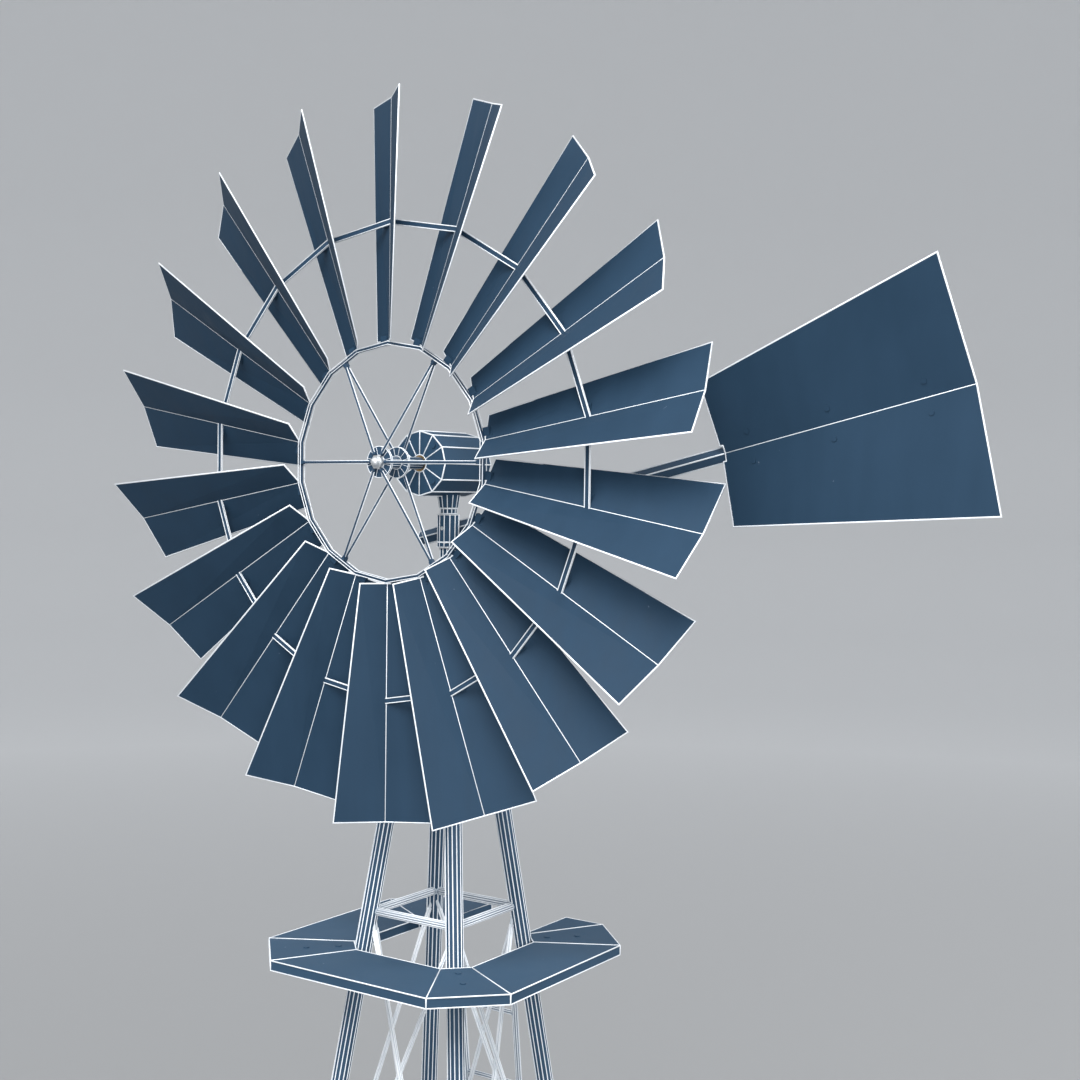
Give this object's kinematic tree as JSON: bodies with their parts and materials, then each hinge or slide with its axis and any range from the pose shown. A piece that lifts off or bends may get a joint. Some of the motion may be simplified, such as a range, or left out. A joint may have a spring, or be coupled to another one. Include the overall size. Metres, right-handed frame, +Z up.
{
  "type": "garden windmill",
  "caption": "Garden windmill: folded-blade wheel on a swivelling gear-case head with a furling tail vane, on a braced four-leg tube tower with walkway and ladder.",
  "frame": {"origin": "on the ground, on the vertical swivel axis, at the centre of the four ground bolts", "axes": "+Z up; the wheel faces -Y; +X is to the right seen from the front, where the furled tail points; the ladder is on the +Y side"},
  "size_m": [0.9207, 0.588, 2.4],
  "materials": {
    "leg_paint": "satin slate-blue paint on round steel tube, pale at the rubbed edges",
    "head_paint": "satin slate-blue paint on sheet steel",
    "blade_paint": "satin slate-blue paint on folded sheet, bare bright edges",
    "vane_paint": "satin slate-blue paint on folded sheet, bare bright edges",
    "deck_paint": "satin slate-blue paint on folded sheet, paler than the blades",
    "brace_paint": "pale grey paint on thin tube and rod",
    "wheel_steel": "satin slate-blue paint on flat bar and rod, bare bright edges",
    "dark_iron": "dark blue-grey painted iron",
    "zinc": "zinc-plated steel",
    "bronze": "plain bearing bronze"
  },
  "bodies": {
    "tower": {"leg_front_left": "leg_paint", "leg_front_right": "leg_paint", "leg_rear_right": "leg_paint", "leg_rear_left": "leg_paint", "foot_plates": "dark_iron", "tower_cap": "dark_iron", "cap_bolts": "zinc", "mast_bushes": "bronze", "thrust_washer": "zinc", "brace_rings": "brace_paint", "cross_rods": "brace_paint", "walkway_deck": "deck_paint", "walkway_skirts": "deck_paint", "walkway_arms": "dark_iron", "walkway_bolts": "deck_paint", "ladder_rails": "brace_paint", "ladder_rungs": "brace_paint", "ladder_clips": "dark_iron"},
    "head": {"mast": "head_paint", "mast_collars": "head_paint", "mast_flare": "head_paint", "gear_case": "head_paint", "front_cover": "head_paint", "rear_cover": "head_paint", "cover_screws": "head_paint", "front_bearing": "bronze", "rear_bearing": "bronze"},
    "wheel": {"main_shaft": "zinc", "shaft_collars": "zinc", "hub_sleeve": "head_paint", "hub_flanges": "wheel_steel", "spokes": "wheel_steel", "outer_ring": "wheel_steel", "inner_ring": "wheel_steel", "blade_clips": "blade_paint", "hub_nut": "zinc", "blade_01": "blade_paint", "blade_02": "blade_paint", "blade_03": "blade_paint", "blade_04": "blade_paint", "blade_05": "blade_paint", "blade_06": "blade_paint", "blade_07": "blade_paint", "blade_08": "blade_paint", "blade_09": "blade_paint", "blade_10": "blade_paint", "blade_11": "blade_paint", "blade_12": "blade_paint", "blade_13": "blade_paint", "blade_14": "blade_paint", "blade_15": "blade_paint", "blade_16": "blade_paint", "blade_17": "blade_paint", "blade_18": "blade_paint"},
    "tail": {"tail_collar": "head_paint", "clamp_screw": "zinc", "tail_boom": "vane_paint", "tail_vane": "vane_paint", "vane_clips": "dark_iron", "vane_rivets": "vane_paint"}
  },
  "joints": [
    {"name": "head_yaw", "type": "hinge", "parent": "tower", "child": "head", "pos_m": [0, 0, 1.9], "axis": [0, 0, 1], "continuous": true},
    {"name": "wheel_spin", "type": "hinge", "parent": "head", "child": "wheel", "pos_m": [0, -0.096, 2.05], "axis": [0, 1, 0], "continuous": true},
    {"name": "tail_furl", "type": "hinge", "parent": "head", "child": "tail", "pos_m": [0, 0, 1.985], "axis": [0, 0, 1], "range_deg": [0, 90]}
  ]
}
